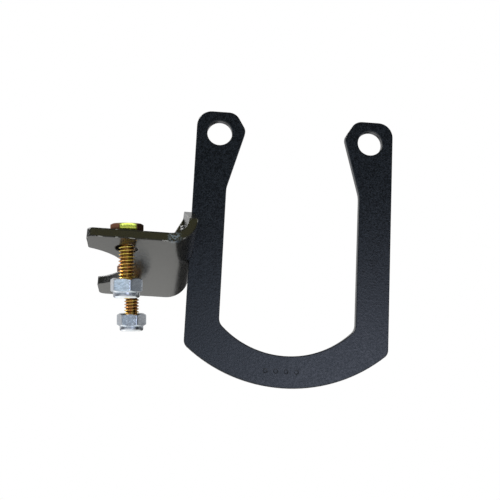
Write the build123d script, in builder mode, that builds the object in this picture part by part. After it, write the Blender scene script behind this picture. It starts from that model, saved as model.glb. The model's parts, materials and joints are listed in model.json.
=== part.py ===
"""Ladder stabilizer: a flat steel U-plate with a saddle bracket on its left arm.

Frame: +X to the right, +Y to the rear, +Z up, millimetres. The origin is midway between the
centres of the two eyelets, on the middle plane of the U-plate. The arms of the U point up.

The bracket is a bent plate. It has its own frame, bracket_frame, with its origin at the left
edge of the left arm, X along the reach (negative is away from the arm), Y to the rear along
the bend and Z out of its top face. It is raked by a ladder's lean, so its rear end is lower.
"""
from build123d import *
from math import cos, hypot, radians, sin, sqrt, tan
import os

os.makedirs("parts", exist_ok=True)

# ---- driving dimensions ----
plate_thickness = 3.4        # 10 gauge sheet, used for the U-plate, the bracket and its rib
edge_round = 0.35            # broken edges of the cut plates

u_width = 82.55              # 3 1/4 in over the arms
u_gap = 55.36                # between the straight inner edges
arm_top = 9.17               # top edge above the eyelet centres
eyelet_spacing = 63.3
eyelet_diameter = 10.32      # 13/32 in, clearance for a 3/8 in bolt
outer_arc_radius = 62.6
outer_arc_center = -40.65    # height of the centre of the outer bottom arc
inner_arc_radius = 37.85
inner_arc_center = -52.6     # height of the centre of the inner bottom arc
knee_height = -23.0          # where an arm's straight inner edge starts to lean inwards
nose_x = 20.76               # corner of the inward nose before it is rounded
nose_z = 1.77
nose_top_x = 25.35           # corner of the nose's chamfer with the top edge

mark_count = 4               # plain punch marks on the bottom arc
mark_spacing = 4.2
mark_diameter = 1.6
mark_depth = 0.4
mark_x = -2.0
mark_z = -96.6

bracket_level = -58.7        # underside of the bracket at the arm's left edge
rake = 14.0                  # one in four, the lean of a set ladder
toe = 2.8                    # turn of the bracket about +Z
end_skew = 2.2               # turn of the prongs' end and of the bolt line back from the toe
bracket_depth = 62.0         # along the bend
bracket_reach = 37.7         # from the arm's edge to the tips of the prongs, at the middle
bend_inner_radius = 6.35
flange_overlap = 1.6         # how far the bend's outer face is let into the arm
flange_lean = 4.5            # the bend is closed past square by this angle
flange_height = 25.0
flange_end_height = 10.0     # height of the flange at its front and rear ends
flange_top_half = 5.0        # half the length of the flange's level top
flange_corner_radius = 4.0
saddle_radius = 21.0         # round saddle between the two prongs
saddle_center_x = -45.4
prong_corner_radius = 2.5
mouth_corner_radius = 1.2

bolt_spacing = 42.0
bolt_x = -23.47              # at the middle of the bolt line
bolt_lean_front = 6.7        # the loose bolts hang plumb: lean of their tops off +Z to the front
bolt_lean_left = 3.2         # and to the left, degrees
bolt_hole_diameter = 8.5
bolt_diameter = 6.2          # 1/4-20 thread, measured over its crests
bolt_length = 22.2           # 7/8 in under the head
hex_across_flats = 11.11     # 7/16 in, heads and nuts alike
head_face_ratio = 0.96       # round face of the head over its flats
head_height = 3.9
washer_face_height = 0.3
head_gap = 0.05              # running clearance under the head's lowest corner
tip_chamfer = 0.7
front_head_turn = 40.0       # turn of each hexagon's flats from +X, degrees
rear_head_turn = 30.0

nut_end_depth = 20.1         # along the bolt from the bracket's mid-plane to the nut's lower end
nut_height = 7.5
nut_hex_height = 5.4
nut_face_ratio = 0.9         # round face of the nut over its flats
nut_bore_diameter = 6.32
collar_diameter = 10.0
collar_round = 0.7
insert_height = 1.85
insert_outer_diameter = 8.4
insert_bore_diameter = 6.26
insert_lip = 0.25            # thickness of the rolled lip that holds the insert
lip_bore_diameter = 7.2
front_nut_turn = 17.0
rear_nut_turn = 26.0

rib_top = 23.5               # height of the rib on the flange
rib_foot = 13.0              # reach of the rib on the bracket's top face
rib_corner_cut = 1.5         # clearance of the rib's corner off the bend
weld_leg = 3.0               # fillet weld between the flange and the arm
weld_start = 1.5             # its foot above the bend
weld_stop = 4.0              # its end below the flange's top
weld_face_ratio = 1.6        # radius of its hollow face over its leg
rib_weld_leg = 1.8
rib_weld_inset = 1.0         # each end of a foot bead stops short of the rib's

# ---- derived places ----
half_width = u_width / 2
half_gap = u_gap / 2
half_thickness = plate_thickness / 2
bend_outer_radius = bend_inner_radius + plate_thickness
bend_center_x = flange_overlap - bend_outer_radius
bracket_middle = half_thickness                      # the U-plate's middle plane
reach_limit = bracket_reach + 5                      # blank before its end is cut
bracket_front = bracket_middle - bracket_depth / 2
bracket_rear = bracket_middle + bracket_depth / 2
front_bolt_y = bracket_middle - bolt_spacing / 2
rear_bolt_y = bracket_middle + bolt_spacing / 2
bolt_axis = Vector(-tan(radians(bolt_lean_left)), -tan(radians(bolt_lean_front)), 1).normalized()


def turned(x, y, z):
    """A direction turned by the toe angle about +Z."""
    return (x * cos(radians(toe)) - y * sin(radians(toe)),
            x * sin(radians(toe)) + y * cos(radians(toe)),
            z)


along_reach = turned(1, 0, 0)
along_bend = turned(0, cos(radians(rake)), -sin(radians(rake)))
plate_normal = turned(0, sin(radians(rake)), cos(radians(rake)))
bracket_frame = Plane(origin=(-half_width, -half_thickness, bracket_level),
                      x_dir=along_reach, z_dir=plate_normal)


def bracket_point(x, y, z):
    """A point of the bracket's own frame in the part's frame."""
    return bracket_frame.from_local_coords(Vector(x, y, z))


def flange_face(radius, height):
    """Point of the flange's face that runs on from the bend's arc of this radius."""
    lean = radians(flange_lean)
    start_x = bend_center_x + radius * cos(lean)
    start_height = bend_outer_radius + radius * sin(lean)
    return start_x - (height - start_height) * tan(lean), height


def section_plane(y):
    """Plane across the bend at y: its X is the reach and its Y is the plate's normal."""
    return Plane(origin=bracket_point(0, y, 0), x_dir=along_reach,
                 z_dir=Vector(*along_bend).reverse())


def side_plane(x):
    """Plane along the bend at x: its X is the bend and its Y is the plate's normal."""
    return Plane(origin=bracket_point(x, 0, 0), x_dir=along_bend, z_dir=along_reach)


def skewed(x, y):
    """A point of the plate moved along the reach, as lines across it are skewed."""
    return x + (y - bracket_middle) * tan(radians(end_skew)), y


def bolt_plane(y, z):
    """Plane across the hanging bolt whose hole is at y, z along it from the bracket's mid-plane."""
    hole = bracket_point(*skewed(bolt_x, y), half_thickness)
    return Plane(origin=hole + bolt_axis * z, x_dir=Vector(0, 1, 0).cross(bolt_axis), z_dir=bolt_axis)


def save(piece, name):
    piece.part.label = name
    export_step(piece.part, f"parts/{name}.step")


# ---- bracket: bent plate with a saddle between two prongs ----
with BuildPart() as bracket:
    with BuildSketch(section_plane(bracket_front)):
        with BuildLine():
            Polyline((bend_center_x, 0), (-reach_limit, 0), (-reach_limit, plate_thickness),
                     (bend_center_x, plate_thickness))
            bend_center = (bend_center_x, bend_outer_radius)
            inner_bend = CenterArc(bend_center, bend_inner_radius, 270, 90 + flange_lean)
            outer_bend = CenterArc(bend_center, bend_outer_radius, 270, 90 + flange_lean)
            Polyline(inner_bend @ 1, flange_face(bend_inner_radius, flange_height),
                     flange_face(bend_outer_radius, flange_height), outer_bend @ 1)
        make_face()
    extrude(amount=-bracket_depth)
    # outline seen from the flange's side
    with BuildSketch(side_plane(0)) as side_outline:
        with BuildLine():
            Polyline((bracket_front, -1), (bracket_rear, -1), (bracket_rear, flange_end_height),
                     (bracket_middle + flange_top_half, flange_height),
                     (bracket_middle - flange_top_half, flange_height),
                     (bracket_front, flange_end_height), (bracket_front, -1))
        make_face()
        fillet(side_outline.vertices().group_by(Axis.Y)[-1], flange_corner_radius)
    extrude(amount=2 * bracket_reach, both=True, mode=Mode.INTERSECT)
    # outline seen from above
    with BuildSketch(bracket_frame) as plan_outline:
        front_tip = skewed(-bracket_reach, bracket_front)
        rear_tip = skewed(-bracket_reach, bracket_rear)
        with BuildLine():
            Polyline(front_tip, (bracket_reach, bracket_front), (bracket_reach, bracket_rear),
                     rear_tip, front_tip)
        make_face()
        fillet(plan_outline.vertices().sort_by(Axis.X)[:2], prong_corner_radius)
        with Locations((saddle_center_x, bracket_middle)):
            Circle(saddle_radius, mode=Mode.SUBTRACT)
        fillet(plan_outline.vertices().sort_by_distance((-bracket_reach, bracket_middle))[:2],
               mouth_corner_radius)
        with Locations(skewed(bolt_x, front_bolt_y), skewed(bolt_x, rear_bolt_y)):
            Circle(bolt_hole_diameter / 2, mode=Mode.SUBTRACT)
    extrude(amount=2 * flange_height, both=True, mode=Mode.INTERSECT)
save(bracket, "bracket")

# ---- U-plate ----
outer_corner_z = outer_arc_center - sqrt(outer_arc_radius**2 - half_width**2)
inner_corner_z = inner_arc_center - sqrt(inner_arc_radius**2 - half_gap**2)
outer_bottom_z = outer_arc_center - outer_arc_radius
inner_bottom_z = inner_arc_center - inner_arc_radius

with BuildPart() as u_plate:
    with BuildSketch(Plane.XZ) as u_outline:
        with BuildLine():
            outer_arc = RadiusArc((0, outer_bottom_z), (half_width, outer_corner_z), -outer_arc_radius)
            Polyline((half_width, outer_corner_z), (half_width, arm_top), (nose_top_x, arm_top),
                     (nose_x, nose_z), (half_gap, knee_height), (half_gap, inner_corner_z))
            inner_arc = RadiusArc((half_gap, inner_corner_z), (0, inner_bottom_z), inner_arc_radius)
            mirror(about=Plane.YZ)
        make_face()
        for x, z, radius in ((half_width, outer_corner_z, 3.7), (half_width, arm_top, 6.2),
                             (nose_top_x, arm_top, 5.0), (nose_x, nose_z, 4.0),
                             (half_gap, knee_height, 12.0), (half_gap, inner_corner_z, 4.5)):
            fillet([v for v in u_outline.vertices() if hypot(abs(v.X) - x, v.Y - z) < 0.01], radius)
        with Locations((-eyelet_spacing / 2, 0), (eyelet_spacing / 2, 0)):
            Circle(eyelet_diameter / 2, mode=Mode.SUBTRACT)
    extrude(amount=half_thickness, both=True)
    rims = u_plate.faces().sort_by(Axis.Y)
    fillet(rims[0].edges() + rims[-1].edges(), edge_round)
    # the arm's edge is coped round the bracket's flange
    add(bracket.part, mode=Mode.SUBTRACT)
    # row of round punch marks
    with BuildSketch(Plane.XZ.offset(half_thickness)):
        with Locations((mark_x, mark_z)):
            with GridLocations(mark_spacing, 0, mark_count, 1):
                Circle(mark_diameter / 2)
    extrude(amount=-mark_depth, mode=Mode.SUBTRACT)
save(u_plate, "u_plate")

# ---- rib in the corner of the bend ----
rib_corner_height = bend_outer_radius + rib_corner_cut
with BuildPart() as rib:
    with BuildSketch(section_plane(bracket_middle)):
        with BuildLine():
            Polyline(flange_face(bend_inner_radius, rib_top), (-rib_foot, plate_thickness),
                     (bend_center_x - rib_corner_cut, plate_thickness),
                     flange_face(bend_inner_radius, rib_corner_height),
                     flange_face(bend_inner_radius, rib_top))
        make_face()
    extrude(amount=half_thickness, both=True)
save(rib, "rib")

# ---- welds ----
weld_low = bracket_level + bend_outer_radius + weld_start
weld_high = bracket_level + flange_height - weld_stop
weld_corner_x = flange_overlap - half_width
with BuildPart() as arm_weld:
    with BuildSketch(Plane.XY.offset(weld_low)):
        with BuildLine():
            Polyline((weld_corner_x + weld_leg, half_thickness),
                     (weld_corner_x - half_thickness, half_thickness),
                     (weld_corner_x - half_thickness, half_thickness + weld_leg),
                     (weld_corner_x, half_thickness + weld_leg))
            RadiusArc((weld_corner_x, half_thickness + weld_leg),
                      (weld_corner_x + weld_leg, half_thickness), weld_face_ratio * weld_leg)
        make_face()
    extrude(amount=weld_high - weld_low)
    add(bracket.part, mode=Mode.SUBTRACT)
    add(u_plate.part, mode=Mode.SUBTRACT)
save(arm_weld, "arm_weld")

with BuildPart() as rib_welds:
    for side in (-1, 1):
        face_y = bracket_middle + side * half_thickness
        # along the rib's foot on the bracket
        with BuildSketch(side_plane(rib_weld_inset - rib_foot)):
            with BuildLine():
                Polyline((face_y, plate_thickness), (face_y + side * rib_weld_leg, plate_thickness),
                         (face_y, plate_thickness + rib_weld_leg), (face_y, plate_thickness))
            make_face()
        extrude(amount=rib_foot - 2 * rib_weld_inset + bend_center_x)
        # up the rib on the flange
        rib_weld_top = rib_top - rib_corner_cut - rib_weld_leg
        lower_x, lower_height = flange_face(bend_inner_radius, rib_corner_height)
        upper_x, upper_height = flange_face(bend_inner_radius, rib_weld_top)
        lower_end = bracket_point(lower_x, face_y, lower_height)
        upper_end = bracket_point(upper_x, face_y, upper_height)
        up_flange = Plane(origin=lower_end, x_dir=along_bend, z_dir=upper_end - lower_end)
        with BuildSketch(up_flange):
            with BuildLine():
                Polyline((0, 0), (side * rib_weld_leg, 0), (0, rib_weld_leg), (0, 0))
            make_face()
        extrude(amount=(upper_end - lower_end).length)
    add(bracket.part, mode=Mode.SUBTRACT)
save(rib_welds, "rib_welds")

# ---- bolts and lock nuts ----
# a hanging bolt's head stands on the lowest corner of its hexagon
bolt_lean = radians(bolt_axis.get_angle(Vector(*plate_normal)))
hex_corner_radius = hex_across_flats / sqrt(3)
head_lift = (half_thickness + hex_corner_radius * sin(bolt_lean) + head_gap) / cos(bolt_lean)
head_seat = head_lift - washer_face_height


def hexagon(turn):
    RegularPolygon(hex_across_flats / 2, 6, major_radius=False, rotation=turn + 30)


def cut_hex_corners(seat, low, high, face_ratio, both_ends):
    """Turn the corners of a hexagon off at 30 degrees, at its top and, on a nut, at its foot."""
    flat = hex_across_flats / 2 * face_ratio
    drop = (hex_corner_radius - flat) * tan(radians(30))
    foot = [(flat, low), (hex_corner_radius, low + drop)] if both_ends else [(hex_corner_radius, low)]
    with BuildSketch(Plane(origin=seat.origin, x_dir=seat.x_dir,
                           z_dir=seat.y_dir.reverse())) as half_profile:
        with BuildLine():
            Polyline((0, low), *foot, (hex_corner_radius, high - drop), (flat, high), (0, high), (0, low))
        make_face()
    revolve(half_profile.sketch, axis=Axis(seat.origin, seat.z_dir), mode=Mode.INTERSECT)


def build_bolt(y, turn):
    seat = bolt_plane(y, head_seat)
    with BuildPart() as bolt:
        with BuildSketch(seat.offset(washer_face_height)):
            hexagon(turn)
        extrude(amount=head_height - washer_face_height)
        cut_hex_corners(seat, washer_face_height, head_height, head_face_ratio, False)
        with BuildSketch(seat):
            Circle(hex_across_flats / 2 * head_face_ratio)
        extrude(amount=washer_face_height)
        with BuildSketch(seat):
            Circle(bolt_diameter / 2)
        extrude(amount=-bolt_length)
        tip_rim = bolt.edges().filter_by(GeomType.CIRCLE).sort_by(Axis(seat.origin, seat.z_dir))[0]
        chamfer(tip_rim, tip_chamfer)
    return bolt


def build_nut(y, turn):
    seat = bolt_plane(y, -nut_end_depth)
    with BuildPart() as nut:
        with BuildSketch(seat.offset(nut_height - nut_hex_height)):
            hexagon(turn)
        extrude(amount=nut_hex_height)
        cut_hex_corners(seat, nut_height - nut_hex_height, nut_height, nut_face_ratio, True)
        with BuildSketch(seat):
            Circle(collar_diameter / 2)
        extrude(amount=nut_height - nut_hex_height)
        collar_rim = nut.edges().filter_by(GeomType.CIRCLE).sort_by(Axis(seat.origin, seat.z_dir))[0]
        fillet(collar_rim, collar_round)
        with BuildSketch(seat):
            Circle(nut_bore_diameter / 2)
        extrude(amount=nut_height, mode=Mode.SUBTRACT)
        with BuildSketch(seat.offset(insert_lip)):
            Circle(insert_outer_diameter / 2)
        extrude(amount=insert_height, mode=Mode.SUBTRACT)
        with BuildSketch(seat):
            Circle(lip_bore_diameter / 2)
        extrude(amount=insert_lip, mode=Mode.SUBTRACT)
    return nut


def build_insert(y):
    seat = bolt_plane(y, insert_lip - nut_end_depth)
    with BuildPart() as insert:
        with BuildSketch(seat):
            Circle(insert_outer_diameter / 2)
            Circle(insert_bore_diameter / 2, mode=Mode.SUBTRACT)
        extrude(amount=insert_height)
    return insert


for end, bolt_y, head_turn, nut_turn in (("front", front_bolt_y, front_head_turn, front_nut_turn),
                                         ("rear", rear_bolt_y, rear_head_turn, rear_nut_turn)):
    save(build_bolt(bolt_y, head_turn), f"{end}_bolt")
    save(build_nut(bolt_y, nut_turn), f"{end}_nut")
    save(build_insert(bolt_y), f"{end}_nut_insert")
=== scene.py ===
"""Looks for the ladder stabilizer: coated plates, plated bolts and lock nuts, welds, studio.

Pieces are sized in millimetres and scaled to the frame's metres. Bevels and bumps are in metres, and a
noise's scale is per metre.
"""
import json
import random
from math import cos, pi, radians, sin, tan

import bmesh
import bpy
from mathutils import Matrix, Vector


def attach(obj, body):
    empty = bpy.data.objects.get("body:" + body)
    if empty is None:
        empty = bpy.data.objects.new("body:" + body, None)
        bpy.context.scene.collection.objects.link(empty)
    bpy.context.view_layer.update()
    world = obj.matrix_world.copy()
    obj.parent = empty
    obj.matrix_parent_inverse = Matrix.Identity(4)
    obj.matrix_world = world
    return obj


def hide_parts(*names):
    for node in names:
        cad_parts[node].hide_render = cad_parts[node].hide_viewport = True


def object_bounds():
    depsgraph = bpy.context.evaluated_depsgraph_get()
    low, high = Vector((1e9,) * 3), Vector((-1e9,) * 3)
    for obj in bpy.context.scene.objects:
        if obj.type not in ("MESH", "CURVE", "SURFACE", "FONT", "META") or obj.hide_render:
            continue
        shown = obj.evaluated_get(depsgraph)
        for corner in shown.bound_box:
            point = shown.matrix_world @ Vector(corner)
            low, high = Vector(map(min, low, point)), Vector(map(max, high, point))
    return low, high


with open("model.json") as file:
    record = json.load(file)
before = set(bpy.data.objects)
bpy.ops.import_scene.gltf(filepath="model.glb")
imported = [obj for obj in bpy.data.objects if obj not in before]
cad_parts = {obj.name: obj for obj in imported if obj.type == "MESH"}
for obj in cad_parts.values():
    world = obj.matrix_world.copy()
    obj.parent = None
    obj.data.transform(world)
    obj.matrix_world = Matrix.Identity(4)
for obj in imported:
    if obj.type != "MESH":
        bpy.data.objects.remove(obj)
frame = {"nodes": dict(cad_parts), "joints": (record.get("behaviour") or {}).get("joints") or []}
cad_low, cad_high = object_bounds()
MM = 0.001

# ---- hardware sizes, in millimetres, along each bolt's own axis ----
HALF_SHEET = 1.7               # a bolt joint's origin is on the bracket's mid-plane
HEAD_GAP = 0.05
HEX_FLATS = 11.11              # 7/16 in
HEAD_FACE = 0.96               # round faces over the flats
NUT_FACE = 0.9
CORNER_ROUND = 28              # power of the blend that rounds a hexagon's corners
HEX_STEPS = 14                 # points along one side of a hexagon
WASHER_FACE = 0.3
HEAD_HEIGHT = 3.9
HEAD_CENTRE = 0.05             # share of the face's radius inside the innermost ring
HEAD_TOP = ((HEAD_CENTRE, 0.16), (0.55, 0.15), (0.8, 0.04), (0.97, 0.0), (1.0, 0.02))   # share, depth
HEAD_FOOT_EDGE = 0.12
HEAD_FOOT_SCALE = 0.985
SHANK_OVERLAP = 0.3            # of the shank's shell with the head's
BOLT_LENGTH = 22.2
THREAD_PITCH = 1.27
TIP_CHAMFER = 0.75
THREAD_CREST = 3.1
THREAD_DEPTH = 0.72
CREST_FLAT, FLANK = 0.12, 0.66   # shares of half a pitch
THREAD_STEPS = 20              # rings of points in one pitch
THREAD_AROUND = 60             # points in one ring
NUT_END = 20.1                 # below the bracket's mid-plane, along the bolt
NUT_HEIGHT = 7.5
NUT_HEX = 5.4
NUT_BORE = 3.16
SINK_WIDTH, SINK_DEPTH = 0.5, 0.4   # countersink at the top of the bore
COLLAR = 5.0
COLLAR_ROUND = 0.9
LIP_BORE = 3.6
INSERT_OUTER = 4.2
INSERT_BORE = 3.13
INSERT_HEIGHT = 1.85
LIP = 0.25
LIP_EDGE = 0.1
FACE_DIP = 0.02                # how far a turned face falls towards its bore
RING_AROUND = 72               # points in one ring of the insert
FACET_TINT = (0.2, -0.2, 0.5, 1.0, -0.5, 1.0)   # a head's facets: below 0 greener, above 0 redder
HEAD_TURN = {"front": 40, "rear": 30}
NUT_TURN = {"front": 17, "rear": 26}

# ---- the bracket's own frame: REACH along its arms, BEND along its bend, NORMAL off its top face ----
RAKE, TOE = radians(14.0), radians(2.8)
BRACKET_CORNER = Vector((-41.275, -1.7, -58.7))   # where its underside meets the arm's edge
REACH = Vector((cos(TOE), sin(TOE), 0))
NORMAL = Vector((-sin(TOE) * sin(RAKE), cos(TOE) * sin(RAKE), cos(RAKE)))
BEND = NORMAL.cross(REACH)
SCUFF_AND_GLINT = (-6.8, -29.3, 1.8)     # middle of the bluish light patch on the front end of the bend: partly a scuff, partly a painted glint

# ---- welds: the rib's beads as reach and height in the bracket's frame, the arm's in the row's ----
FOOT_BEAD = ((-12.0, 2 * HALF_SHEET), (-9.15, 2 * HALF_SHEET))
FLANGE_BEAD = ((-1.9, 11.25), (-2.6, 20.2))
RIB_WELD_LEG = 1.8
ARM_BEAD = ((-39.9, 1.6, -47.4), (-40.5, 1.6, -37.7))
ARM_LEGS = ((1, 0, 0), (0, 1, 0))
ARM_WELD_LEG = 3.0
BEAD_STEPS = 7                 # rings of points in a millimetre of bead
BEAD_AROUND = 12               # steps round a bead's face
BEAD_PUFFS = 1.1               # ripples in a millimetre
BEAD_TAPER = 0.6               # length of a drawn-in end, in legs
BEAD_PINCH = 0.7               # size that its end loses

# ---- studio, in metres ----
FLOOR_DROP = 0.18              # below the part
FLOOR_RADIUS = 0.45
FLOOR_AROUND = 96              # points round its edge


# ---- node helpers ----
class Nodes:
    """A material or world node tree with short calls to add and link nodes."""

    def __init__(self, tree):
        self.tree = tree
        tree.nodes.clear()

    def add(self, kind, **values):
        node = self.tree.nodes.new(kind)
        for key, value in values.items():
            if key in node.inputs:
                self.set(node.inputs[key], value)
            else:
                setattr(node, key, value)
        return node

    def set(self, socket, value):
        if isinstance(value, bpy.types.NodeSocket):
            self.tree.links.new(value, socket)
        else:
            socket.default_value = value

    def noise(self, vector, scale, detail=4.0, roughness=0.55):
        node = self.add("ShaderNodeTexNoise", Vector=vector, Scale=scale, Detail=detail, Roughness=roughness)
        return node.outputs["Fac"]

    def remap(self, value, low, high, to_low, to_high):
        node = self.add("ShaderNodeMapRange")
        for socket, item in zip(node.inputs, (value, low, high, to_low, to_high)):
            self.set(socket, item)
        return node.outputs[0]

    def mix(self, factor, first, second):
        node = self.add("ShaderNodeMix", data_type="RGBA")
        self.set(node.inputs[0], factor)
        self.set(node.inputs[6], first)
        self.set(node.inputs[7], second)
        return node.outputs[2]

    def math(self, operation, first, second=0.0):
        node = self.add("ShaderNodeMath", operation=operation)
        self.set(node.inputs[0], first)
        self.set(node.inputs[1], second)
        return node.outputs[0]

    def ramp(self, value, stops):
        """Colour ramp over -1 to 1 with listed stops."""
        node = self.add("ShaderNodeValToRGB")
        self.set(node.inputs[0], self.remap(value, -1.0, 1.0, 0.0, 1.0))
        elements = node.color_ramp.elements
        while len(elements) < len(stops):
            elements.new(0.5)
        for element, (place, colour) in zip(elements, stops):
            element.position = (place + 1) / 2
            element.color = (*colour, 1)
        return node.outputs[0]

    def edges(self, radius, low, high):
        """Mask of convex and concave edges: where a bevelled normal leaves the true one."""
        bevel = self.add("ShaderNodeBevel", Radius=radius, samples=4).outputs[0]
        plain = self.add("ShaderNodeNewGeometry").outputs["Normal"]
        dot = self.add("ShaderNodeVectorMath", operation="DOT_PRODUCT")
        self.set(dot.inputs[0], bevel)
        self.set(dot.inputs[1], plain)
        return self.remap(dot.outputs["Value"], 1.0 - low, 1.0 - high, 0.0, 1.0)


def new_material(name):
    material = bpy.data.materials.new(name)
    material.use_nodes = True
    nodes = Nodes(material.node_tree)
    output = nodes.add("ShaderNodeOutputMaterial")
    shader = nodes.add("ShaderNodeBsdfPrincipled")
    material.node_tree.links.new(shader.outputs[0], output.inputs[0])
    place = nodes.add("ShaderNodeTexCoord").outputs["Object"]
    return material, nodes, shader, place


def coat_material(name, dark, light, roughness, peel_strength, arris, chips_and_glints, scuff_and_glint=None):
    """Black powder coat: mottle, orange peel, soft arrises and small light marks along them, partly chipped
    coat and partly painted highlight.
    """
    material, nodes, shader, place = new_material(name)
    mottle = nodes.remap(nodes.noise(place, 1400.0, 6.0, 0.7), 0.40, 0.60, 0.0, 1.0)
    grain = nodes.noise(place, 1100.0, 3.0)
    colour = nodes.mix(mottle, dark, light)
    # light grey spots along the arrises: partly chipped coat, partly painted highlight and glints on the
    # edges
    arris_wear_and_sheen = nodes.edges(0.0008, 0.03, 0.22)
    chip_and_glint_spots = nodes.remap(nodes.noise(place, 480.0, 2.0, 0.5), 0.57, 0.61, 0.0, chips_and_glints)
    chip_and_glint = nodes.math("MULTIPLY", arris_wear_and_sheen, chip_and_glint_spots)
    colour = nodes.mix(chip_and_glint, colour, (0.80, 0.79, 0.75, 1))
    if scuff_and_glint is not None:
        # bluish light patch round the given spot: partly a scuff, partly a painted glint on the bend's front
        # end
        distance = nodes.add("ShaderNodeVectorMath", operation="DISTANCE")
        nodes.set(distance.inputs[0], place)
        nodes.set(distance.inputs[1], scuff_and_glint)
        near = nodes.remap(distance.outputs["Value"], 0.0012, 0.0030, 1.0, 0.0)
        patchy = nodes.remap(nodes.noise(place, 1300.0, 3.0), 0.46, 0.56, 0.0, 1.0)
        scuff_and_painted_glint = nodes.math("MULTIPLY", near, patchy)
        colour = nodes.mix(scuff_and_painted_glint, colour, (0.20, 0.26, 0.32, 1))
    nodes.set(shader.inputs["Base Color"], colour)
    rough = nodes.remap(mottle, 0.0, 1.0, roughness - 0.05, roughness + 0.07)
    nodes.set(shader.inputs["Roughness"], rough)
    shader.inputs["Specular IOR Level"].default_value = 0.5
    soft = nodes.add("ShaderNodeBevel", Radius=arris, samples=4).outputs[0]
    peel = nodes.add("ShaderNodeBump", Strength=peel_strength, Distance=0.00006, Height=grain, Normal=soft)
    ripple = nodes.add("ShaderNodeBump", Strength=0.05, Distance=0.0003,
                       Height=nodes.noise(place, 240.0, 2.0), Normal=peel.outputs[0])
    nodes.set(shader.inputs["Normal"], ripple.outputs[0])
    return material


def plated_material(name, tints, roughness, bump, root_shade_colour=None):
    """Zinc plate: patches of three tints and small dull spots; on a bolt also facets and painted shade in the
    thread roots.
    """
    material, nodes, shader, place = new_material(name)
    shader.inputs["Metallic"].default_value = 1.0
    patches = nodes.remap(nodes.noise(place, 170.0, 2.0, 0.5), 0.40, 0.60, 0.0, 1.0)
    flecks = nodes.remap(nodes.noise(place, 560.0, 3.0, 0.6), 0.46, 0.60, 0.0, 1.0)
    colour = nodes.mix(patches, tints[0], tints[1])
    colour = nodes.mix(nodes.math("MULTIPLY", flecks, 0.7), colour, tints[2])
    if root_shade_colour:
        facet = nodes.add("ShaderNodeAttribute", attribute_name="facet").outputs["Fac"]
        colour = nodes.mix(nodes.remap(facet, -0.5, 0.0, 0.85, 0.0), colour, (0.60, 0.74, 0.10, 1))
        colour = nodes.mix(nodes.remap(facet, 0.0, 1.0, 0.0, 0.9), colour, (0.24, 0.08, 0.065, 1))
        # painted shade: the thread's grooves darken towards their roots
        root = nodes.add("ShaderNodeAttribute", attribute_name="root").outputs["Fac"]
        colour = nodes.mix(nodes.remap(root, 0.25, 0.9, 0.0, 0.92), colour, root_shade_colour)
    nodes.set(shader.inputs["Base Color"], colour)
    dull = nodes.remap(nodes.noise(place, 900.0, 3.0, 0.6), 0.55, 0.7, 0.0, 1.0)
    nodes.set(shader.inputs["Roughness"], nodes.remap(dull, 0.0, 1.0, roughness, roughness + 0.16))
    fine = nodes.add("ShaderNodeBump", Strength=bump, Distance=0.00004,
                     Height=nodes.noise(place, 2400.0, 3.0))
    dents = nodes.add("ShaderNodeBump", Strength=bump, Distance=0.0002,
                      Height=nodes.noise(place, 650.0, 2.0), Normal=fine.outputs[0])
    nodes.set(shader.inputs["Normal"], dents.outputs[0])
    return material


def nylon_material():
    material, nodes, shader, place = new_material("nylon")
    cloud = nodes.noise(place, 500.0, 3.0)
    nodes.set(shader.inputs["Base Color"], nodes.mix(cloud, (0.70, 0.71, 0.68, 1), (0.86, 0.86, 0.82, 1)))
    shader.inputs["Roughness"].default_value = 0.42
    shader.inputs["Subsurface Weight"].default_value = 0.15
    shader.inputs["Subsurface Scale"].default_value = 0.0006
    bump = nodes.add("ShaderNodeBump", Strength=0.1, Distance=0.00005, Height=cloud)
    nodes.set(shader.inputs["Normal"], bump.outputs[0])
    return material


# ---- mesh helpers ----
def add_piece(name, points, faces, body, material, node, crease=35):
    """Piece that rides on body and stands for a CAD node; edges over crease degrees stay sharp."""
    mesh = bpy.data.meshes.new(name)
    mesh.from_pydata(points, [], faces)
    mesh.validate()
    shell = bmesh.new()
    shell.from_mesh(mesh)
    bmesh.ops.recalc_face_normals(shell, faces=shell.faces)
    shell.to_mesh(mesh)
    shell.free()
    mesh.update()
    mesh.shade_smooth()
    mesh.set_sharp_from_angle(angle=radians(crease))
    mesh.materials.append(material)
    piece = bpy.data.objects.new(name, mesh)
    bpy.context.scene.collection.objects.link(piece)
    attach(piece, body)
    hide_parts(node)
    return piece


def ring_faces(rows, count, closed):
    """Quads between rows of count points each; closed joins the last row to the first."""
    faces = []
    for row in range(rows if closed else rows - 1):
        low, high = row * count, (row + 1) % rows * count
        for k in range(count):
            after = (k + 1) % count
            faces.append((low + k, low + after, high + after, high + k))
    return faces


def capped_faces(rows, count):
    """Quads between the rows, and a cap over the first row and over the last."""
    faces = ring_faces(rows, count, closed=False)
    faces.append(tuple(reversed(range(count))))
    faces.append(tuple((rows - 1) * count + k for k in range(count)))
    return faces


def hex_radius(angle):
    """Outline of a hexagon with slightly rounded corners, flats across the angle 0."""
    total = 0.0
    for k in range(6):
        total += max(cos(angle - k * pi / 3), 0.0) ** CORNER_ROUND
    return HEX_FLATS / 2 * total ** (-1 / CORNER_ROUND)


def hex_angles(turn):
    """Angles round a hexagon, closer together at its corners."""
    angles = []
    for facet in range(6):
        for k in range(HEX_STEPS):
            across = -1 + 2 * k / HEX_STEPS
            eased = sin(across * pi / 2)
            angles.append(turn + facet * pi / 3 + eased * pi / 6)
    return angles


def bolt_joint(end):
    return next(joint for joint in frame["joints"] if joint["name"] == f"{end}_bolt_spin")


def bolt_place(end):
    """Matrix from a bolt's own frame, +Z up its axis from the bracket's mid-plane, to the row frame."""
    joint = bolt_joint(end)
    up = -Vector(joint["axis"])
    reach = Vector((0, 1, 0)).cross(up).normalized()
    turn = Matrix((reach, up.cross(reach), up)).transposed().to_4x4()
    return Matrix.Translation(joint["pos_m"]) @ turn @ Matrix.Scale(MM, 4)


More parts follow.
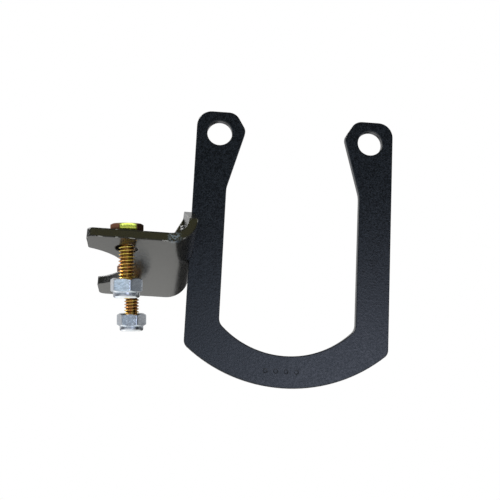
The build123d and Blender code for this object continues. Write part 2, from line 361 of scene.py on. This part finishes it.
def chamfered(radius, face_ratio, high=None, low=None):
    """Height where a hexagon's 30 degree cone at its high or low end meets its side."""
    drop = (radius - HEX_FLATS / 2 * face_ratio) * tan(radians(30))
    return high - drop if low is None else low + drop


def bracket_point(x, y, z):
    """A point of the bracket's own frame: x along its reach, y along its bend, z up from its underside."""
    return BRACKET_CORNER + REACH * x + BEND * y + NORMAL * z


def head_seat(end):
    """Height of the head's bearing face: its lowest corner stands on the raked bracket."""
    lean = NORMAL.angle(-Vector(bolt_joint(end)["axis"]))
    corner = HEX_FLATS / 2 / cos(pi / 6)
    return (HALF_SHEET + corner * sin(lean) + HEAD_GAP) / cos(lean) - WASHER_FACE


def thread_depth(height, angle):
    """0 on a right-hand thread's crest and 1 at its root, with softened corners."""
    phase = (height / THREAD_PITCH - angle / (2 * pi)) % 1.0
    flank = min(max((abs(phase - 0.5) * 2 - CREST_FLAT) / FLANK, 0.0), 1.0)
    return flank * flank * (3 - 2 * flank)


def make_bolt(end, material):
    """Hex bolt in two closed shells: the head with its washer face, and the threaded shank."""
    place = bolt_place(end)
    turn = radians(HEAD_TURN[end])
    angles = hex_angles(turn)
    face = HEX_FLATS / 2 * HEAD_FACE
    seat = head_seat(end)
    top = seat + HEAD_HEIGHT
    shoulder = seat + WASHER_FACE
    count = len(angles)
    rows = []
    facets = []

    def circle(radius, height):
        rows.append([(radius * cos(a), radius * sin(a), height) for a in angles])
        facets.extend([0.0] * count)

    def hexagon(scale, height_at):
        rows.append([])
        facets.extend(FACET_TINT[k * 6 // count] for k in range(count))
        for a in angles:
            radius = hex_radius(a - turn) * scale
            rows[-1].append((radius * cos(a), radius * sin(a), height_at(radius)))

    for share, depth in HEAD_TOP:
        circle(face * share, top - depth)
    hexagon(1.0, lambda radius: chamfered(radius, HEAD_FACE, top))
    hexagon(1.0, lambda radius: shoulder + HEAD_FOOT_EDGE)
    hexagon(HEAD_FOOT_SCALE, lambda radius: shoulder)
    circle(face, shoulder)
    circle(face, seat)
    circle(face * HEAD_CENTRE, seat)
    points = [point for row in rows for point in row]
    faces = capped_faces(len(rows), count)
    root_shade_amounts = [0.0] * len(points)

    tip = seat - BOLT_LENGTH
    shank_top = seat + SHANK_OVERLAP
    steps = round((shank_top - tip) / THREAD_PITCH * THREAD_STEPS)
    start = len(points)
    for k in range(steps + 1):
        height = shank_top + (tip - shank_top) * k / steps
        for j in range(THREAD_AROUND):
            angle = 2 * pi * j / THREAD_AROUND
            depth = thread_depth(height, angle)
            radius = min(THREAD_CREST - THREAD_DEPTH * depth, THREAD_CREST - TIP_CHAMFER + height - tip)
            points.append((radius * cos(angle), radius * sin(angle), height))
            # how deep into the groove: drives the painted shade of the thread roots
            root_shade_amounts.append(depth)
            facets.append(0.0)
    shank = capped_faces(steps + 1, THREAD_AROUND)
    faces += [tuple(start + index for index in shank_face) for shank_face in shank]
    piece = add_piece(f"{end}_hex_bolt", [place @ Vector(point) for point in points], faces, f"{end}_bolt",
                      material, f"{end}_bolt", crease=40)
    for label, values in (("root", root_shade_amounts), ("facet", facets)):
        attribute = piece.data.attributes.new(label, "FLOAT", "POINT")
        attribute.data.foreach_set("value", values)


def make_nut(end, material):
    """Lock nut: hexagon with both ends turned off, and a collar rolled over the insert."""
    place = bolt_place(end)
    turn = radians(NUT_TURN[end])
    angles = hex_angles(turn)
    face = HEX_FLATS / 2 * NUT_FACE
    foot = -NUT_END
    top = foot + NUT_HEIGHT
    shoulder = top - NUT_HEX
    rows = []

    def circle(radius, height):
        rows.append([place @ Vector((radius * cos(a), radius * sin(a), height)) for a in angles])

    def hexagon(high=None, low=None):
        rows.append([])
        for a in angles:
            radius = hex_radius(a - turn)
            height = chamfered(radius, NUT_FACE, high, low)
            rows[-1].append(place @ Vector((radius * cos(a), radius * sin(a), height)))

    circle(NUT_BORE + SINK_WIDTH, top - FACE_DIP)
    circle(face, top)
    hexagon(high=top)
    hexagon(low=shoulder)
    circle(COLLAR, shoulder)
    for k in range(7):
        roll = pi / 2 * k / 6
        circle(COLLAR - COLLAR_ROUND + COLLAR_ROUND * cos(roll),
               foot + COLLAR_ROUND - COLLAR_ROUND * sin(roll))
    circle(LIP_BORE + LIP_EDGE, foot + FACE_DIP)
    circle(LIP_BORE, foot + LIP_EDGE)
    circle(LIP_BORE, foot + LIP)
    circle(INSERT_OUTER, foot + LIP)
    circle(INSERT_OUTER, foot + LIP + INSERT_HEIGHT)
    circle(NUT_BORE, foot + LIP + INSERT_HEIGHT)
    circle(NUT_BORE, top - SINK_DEPTH)
    points = [point for row in rows for point in row]
    add_piece(f"{end}_lock_nut", points, ring_faces(len(rows), len(angles), closed=True),
              f"{end}_nut", material, f"{end}_nut", crease=32)


def make_insert(end, material):
    """Nylon ring inside the lock nut's collar."""
    place = bolt_place(end)
    foot = -NUT_END + LIP
    outline = ((INSERT_BORE + 0.25, foot), (INSERT_OUTER, foot), (INSERT_OUTER, foot + INSERT_HEIGHT),
               (INSERT_BORE + 0.1, foot + INSERT_HEIGHT), (INSERT_BORE, foot + INSERT_HEIGHT - 0.15),
               (INSERT_BORE, foot + 0.35))
    angles = [2 * pi * k / RING_AROUND for k in range(RING_AROUND)]
    points = [place @ Vector((r * cos(a), r * sin(a), z)) for r, z in outline for a in angles]
    add_piece(f"{end}_nylon_ring", points, ring_faces(len(outline), RING_AROUND, closed=True),
              f"{end}_nut", material, f"{end}_nut_insert")


def make_bead(name, start, end, out, leg):
    """Weld bead along a corner: a ripple for each puff, ends drawn in, seeded unevenness.

    out holds the two directions of the corner's legs, away from the corner.
    """
    rng = random.Random(name)
    start, end = Vector(start), Vector(end)
    first, second = Vector(out[0]), Vector(out[1])
    length = (end - start).length
    steps = max(round(length * BEAD_STEPS), 12)
    sway = [rng.uniform(-0.05, 0.05) for _ in range(steps // BEAD_STEPS + 3)]
    points = []
    for k in range(steps + 1):
        along = length * k / steps
        puff = along * BEAD_PUFFS % 1.0
        swell = 1.0 + sway[k // BEAD_STEPS] - 0.09 * (2 * puff - 1) ** 2
        close = min(along, length - along) / (BEAD_TAPER * leg)
        size = leg * swell * (1 - (1 - min(close, 1.0)) ** 2 * BEAD_PINCH)
        centre = start + (end - start) * k / steps
        points.append(centre * MM)
        for j in range(BEAD_AROUND + 1):
            angle = pi / 2 * j / BEAD_AROUND
            bulge = size * (0.80 + 0.20 * abs(cos(2 * angle)))
            points.append((centre + (first * cos(angle) + second * sin(angle)) * bulge) * MM)
    return points, capped_faces(steps + 1, BEAD_AROUND + 2)


def add_beads(name, beads, material, node):
    """One piece from weld beads given as start, end, leg directions and leg."""
    points, faces = [], []
    for k, (start, end, legs, leg) in enumerate(beads):
        bead_points, bead_faces = make_bead(f"{name}{k}", start, end, legs, leg)
        faces += [tuple(len(points) + index for index in face) for face in bead_faces]
        points += bead_points
    add_piece(name, points, faces, "root", material, node, crease=60)


def rib_beads():
    """Start, end, leg directions and leg of the beads on both sides of the rib."""
    beads = []
    for side in (-1, 1):
        y = HALF_SHEET + side * HALF_SHEET
        for ends, away in ((FOOT_BEAD, NORMAL), (FLANGE_BEAD, -REACH)):
            start, end = (bracket_point(x, y, z) for x, z in ends)
            beads.append((start, end, (BEND * side, away), RIB_WELD_LEG))
    return beads


# ---- studio ----
def make_world():
    """White to the eye, and a room of soft panels to the reflections.

    Level panels go by X, apart for -Y (front) and +Y (back), and high ones by Z. Lower down are a
    dark skirting and a bright table, and a dark screen stands towards +X and +Y.
    """
    world = bpy.data.worlds.new("studio")
    bpy.context.scene.world = world
    world.use_nodes = True
    nodes = Nodes(world.node_tree)
    output = nodes.add("ShaderNodeOutputWorld")
    direction = nodes.add("ShaderNodeTexCoord").outputs["Generated"]
    parts = nodes.add("ShaderNodeSeparateXYZ", Vector=direction)
    front = nodes.ramp(parts.outputs["X"], ((-1.0, (0.45, 0.48, 0.52)), (-0.6, (1.25, 1.5, 1.7)),
                                            (-0.22, (1.25, 1.45, 1.65)), (-0.08, (0.34, 0.46, 0.60)),
                                            (0.2, (3.0, 3.3, 4.2)), (0.5, (0.5, 0.56, 0.66)),
                                            (0.9, (0.12, 0.13, 0.14))))
    back = nodes.ramp(parts.outputs["X"], ((-1.0, (0.40, 0.40, 0.40)), (-0.2, (0.80, 0.80, 0.80)),
                                           (0.25, (0.10, 0.10, 0.10)), (1.0, (0.6, 0.62, 0.64))))
    behind = nodes.remap(parts.outputs["Y"], -0.02, 0.22, 0.0, 1.0)
    level = nodes.mix(behind, front, back)
    above = nodes.ramp(parts.outputs["Z"], ((0.0, (0.15, 0.16, 0.18)), (0.24, (0.10, 0.125, 0.155)),
                                            (0.46, (0.05, 0.05, 0.05)), (0.6, (0.82, 0.78, 0.36)),
                                            (0.76, (0.05, 0.05, 0.05))))
    wall = nodes.ramp(parts.outputs["Z"], ((0.0, (0.6, 0.6, 0.6)), (0.4, (0.5, 0.5, 0.5)),
                                           (0.6, (0.2, 0.2, 0.2)), (0.9, (0.5, 0.5, 0.48))))
    high = nodes.mix(behind, above, wall)
    sky = nodes.mix(nodes.remap(parts.outputs["Z"], 0.0, 0.15, 0.0, 1.0), level, high)
    ground = nodes.remap(parts.outputs["Z"], -0.30, -0.12, 1.0, 0.0)
    lit = nodes.mix(ground, sky, (0.88, 0.88, 0.90, 1))
    skirting = nodes.math("MULTIPLY", nodes.remap(parts.outputs["Z"], -0.30, -0.24, 0.0, 0.9),
                          nodes.remap(parts.outputs["Z"], -0.14, -0.08, 1.0, 0.0))
    lit = nodes.mix(skirting, lit, (0.05, 0.05, 0.06, 1))
    screen = nodes.math("MULTIPLY", behind, nodes.remap(parts.outputs["X"], 0.08, 0.28, 0.0, 1.0))
    screen = nodes.math("MULTIPLY", screen, nodes.remap(parts.outputs["Z"], 0.0, 0.08, 1.0, 0.0))
    lit = nodes.mix(screen, lit, (0.05, 0.05, 0.05, 1))
    seen = nodes.add("ShaderNodeLightPath").outputs["Is Camera Ray"]
    colour = nodes.mix(seen, lit, (1.0, 1.0, 1.0, 1))
    shine = nodes.add("ShaderNodeBackground", Color=colour, Strength=1.0)
    world.node_tree.links.new(shine.outputs[0], output.inputs[0])


def make_light():
    """One large soft light, high on the left and a little behind."""
    place, target = Vector((-0.85, 0.2, 0.7)), Vector((0, 0, -0.2))
    data = bpy.data.lights.new("overhead", "AREA")
    data.shape = "RECTANGLE"
    data.size, data.size_y = 0.8, 0.6
    data.energy = 19
    light = bpy.data.objects.new("overhead", data)
    light.location = place
    light.rotation_euler = (target - place).to_track_quat("-Z", "Y").to_euler()
    bpy.context.scene.collection.objects.link(light)


def make_floor(level):
    """White table, as a round disc."""
    angles = [2 * pi * k / FLOOR_AROUND for k in range(FLOOR_AROUND)]
    points = [(FLOOR_RADIUS * cos(a), FLOOR_RADIUS * sin(a), level) for a in angles]
    mesh = bpy.data.meshes.new("floor")
    mesh.from_pydata(points, [], [tuple(range(len(points)))])
    material, nodes, shader, place = new_material("floor")
    nodes.set(shader.inputs["Base Color"], nodes.mix(nodes.noise(place, 3.0), (0.92, 0.92, 0.92, 1),
                                                     (0.95, 0.95, 0.95, 1)))
    shader.inputs["Roughness"].default_value = 0.7
    mesh.materials.append(material)
    floor = bpy.data.objects.new("floor", mesh)
    bpy.context.scene.collection.objects.link(floor)


def make_camera():
    """Camera low and to the left, looking up at the plate, with a slight roll."""
    place = Vector((-38.0, -316.5, -99.6)) * MM
    heading, pitch, roll = radians(3.87), radians(9.21), radians(2.84)
    data = bpy.data.cameras.new("camera")
    data.lens = 56.6
    data.sensor_width = 36.0
    data.clip_start = 0.01
    camera = bpy.data.objects.new("camera", data)
    turn = Matrix.Rotation(-heading, 4, "Z") @ Matrix.Rotation(pi / 2 + pitch, 4, "X")
    camera.matrix_world = Matrix.Translation(place) @ turn @ Matrix.Rotation(roll, 4, "Z")
    bpy.context.scene.collection.objects.link(camera)
    bpy.context.scene.camera = camera


# ---- put together ----
make_camera()
make_world()
make_floor(cad_low[2] - FLOOR_DROP)
make_light()

plate_coat = coat_material("plate_coat", (0.0, 0.0003, 0.001, 1), (0.009, 0.0135, 0.021, 1),
                           roughness=0.24, peel_strength=0.6, arris=0.0004, chips_and_glints=0.0)
bracket_coat = coat_material("bracket_coat", (0.008, 0.008, 0.0075, 1), (0.016, 0.016, 0.015, 1),
                             roughness=0.17, peel_strength=0.2, arris=0.0008, chips_and_glints=1.0,
                             scuff_and_glint=bracket_point(*SCUFF_AND_GLINT) * MM)
yellow = plated_material("yellow_zinc", ((1.0, 0.74, 0.15, 1), (1.0, 0.48, 0.20, 1), (0.90, 0.80, 0.20, 1)),
                         roughness=0.17, bump=0.1, root_shade_colour=(0.17, 0.07, 0.015, 1))
bright = plated_material("bright_zinc", ((0.82, 0.86, 0.90, 1), (0.74, 0.80, 0.88, 1), (0.66, 0.68, 0.72, 1)),
                         roughness=0.18, bump=0.12)
nylon = nylon_material()

for node, coat in (("u_plate", plate_coat), ("bracket", bracket_coat), ("rib", bracket_coat)):
    for material_slot in frame["nodes"][node].material_slots:
        material_slot.material = coat

for end in ("front", "rear"):
    make_bolt(end, yellow)
    make_nut(end, bright)
    make_insert(end, nylon)

add_beads("rib_weld_beads", rib_beads(), bracket_coat, "rib_welds")
add_beads("arm_weld_bead", [(*ARM_BEAD, ARM_LEGS, ARM_WELD_LEG)], bracket_coat, "arm_weld")

bpy.context.scene.view_settings.view_transform = "Standard"
